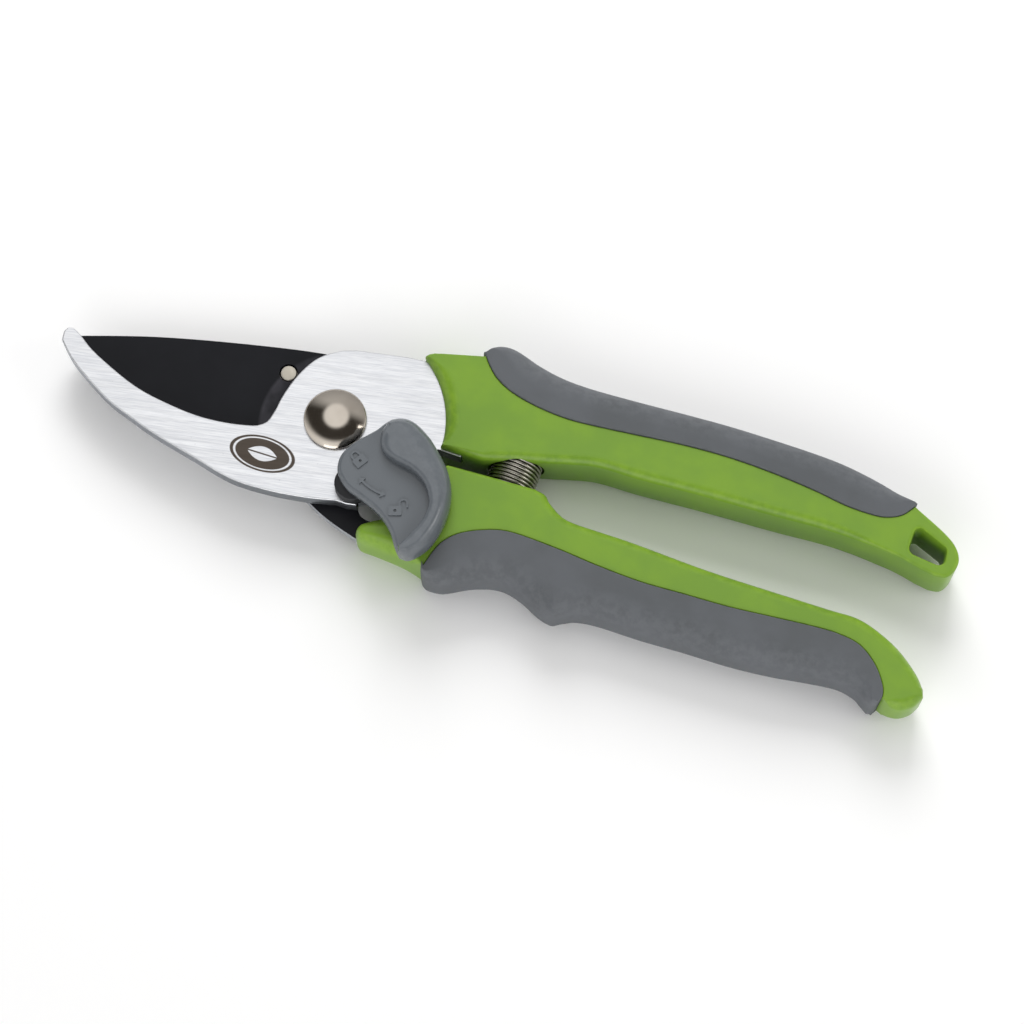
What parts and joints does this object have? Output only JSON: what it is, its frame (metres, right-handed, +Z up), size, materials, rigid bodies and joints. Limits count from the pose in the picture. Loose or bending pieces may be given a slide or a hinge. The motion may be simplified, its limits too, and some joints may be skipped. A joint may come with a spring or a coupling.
{
  "type": "pruning shears",
  "caption": "Bypass pruning shears, closed and locked: a ground steel hook, a black coated blade, green handles with soft grey grips, a return spring and a thumb lock.",
  "frame": {"origin": "middle of the box's underside, on the surface that the shears lie on", "axes": "+X from the jaws to the handles, +Y towards the handle that carries the hook, +Z up, towards the pivot bolt's domed head"},
  "size_m": [0.211, 0.0594, 0.022],
  "materials": {
    "green_shell": "glossy moulded plastic, apple green",
    "soft_grip": "matt soft-touch rubber, mid grey",
    "lever_plastic": "glossy moulded plastic, mid grey",
    "ground_steel": "ground along its length, bright",
    "coated_blade": "satin black non-stick coating",
    "nickel": "polished nickel plate",
    "spring_steel": "drawn steel wire and plain zinc plate",
    "bush_bronze": "turned bronze",
    "black_plastic": "black moulded plastic"
  },
  "bodies": {
    "hook_side": {"hook_plate": "ground_steel", "upper_handle": "green_shell", "upper_grip": "soft_grip", "pivot_bolt": "nickel", "pivot_bush": "bush_bronze", "pivot_disc": "black_plastic", "pivot_washer": "spring_steel", "pivot_nut": "nickel", "upper_spring_seat": "black_plastic", "return_spring": "spring_steel", "lock_pin": "spring_steel", "lock_washer": "spring_steel"},
    "blade_side": {"cutting_blade": "coated_blade", "lower_handle": "green_shell", "lower_grip": "soft_grip", "blade_rivet": "nickel", "lower_spring_seat": "black_plastic"},
    "lever_side": {"lock_lever": "lever_plastic", "lock_catch": "black_plastic"}
  },
  "joints": [
    {"name": "handle_open", "type": "hinge", "parent": "hook_side", "child": "blade_side", "pos_m": [-0.0393, -0.0008, 0.00755], "axis": [0, 0, -1], "range_deg": [0, 33], "deforming": ["return_spring"]},
    {"name": "lock_turn", "type": "hinge", "parent": "hook_side", "child": "lever_side", "pos_m": [-0.0218, -0.0047, 0.0155], "axis": [0, 0, 1], "range_deg": [0, 25]}
  ]
}
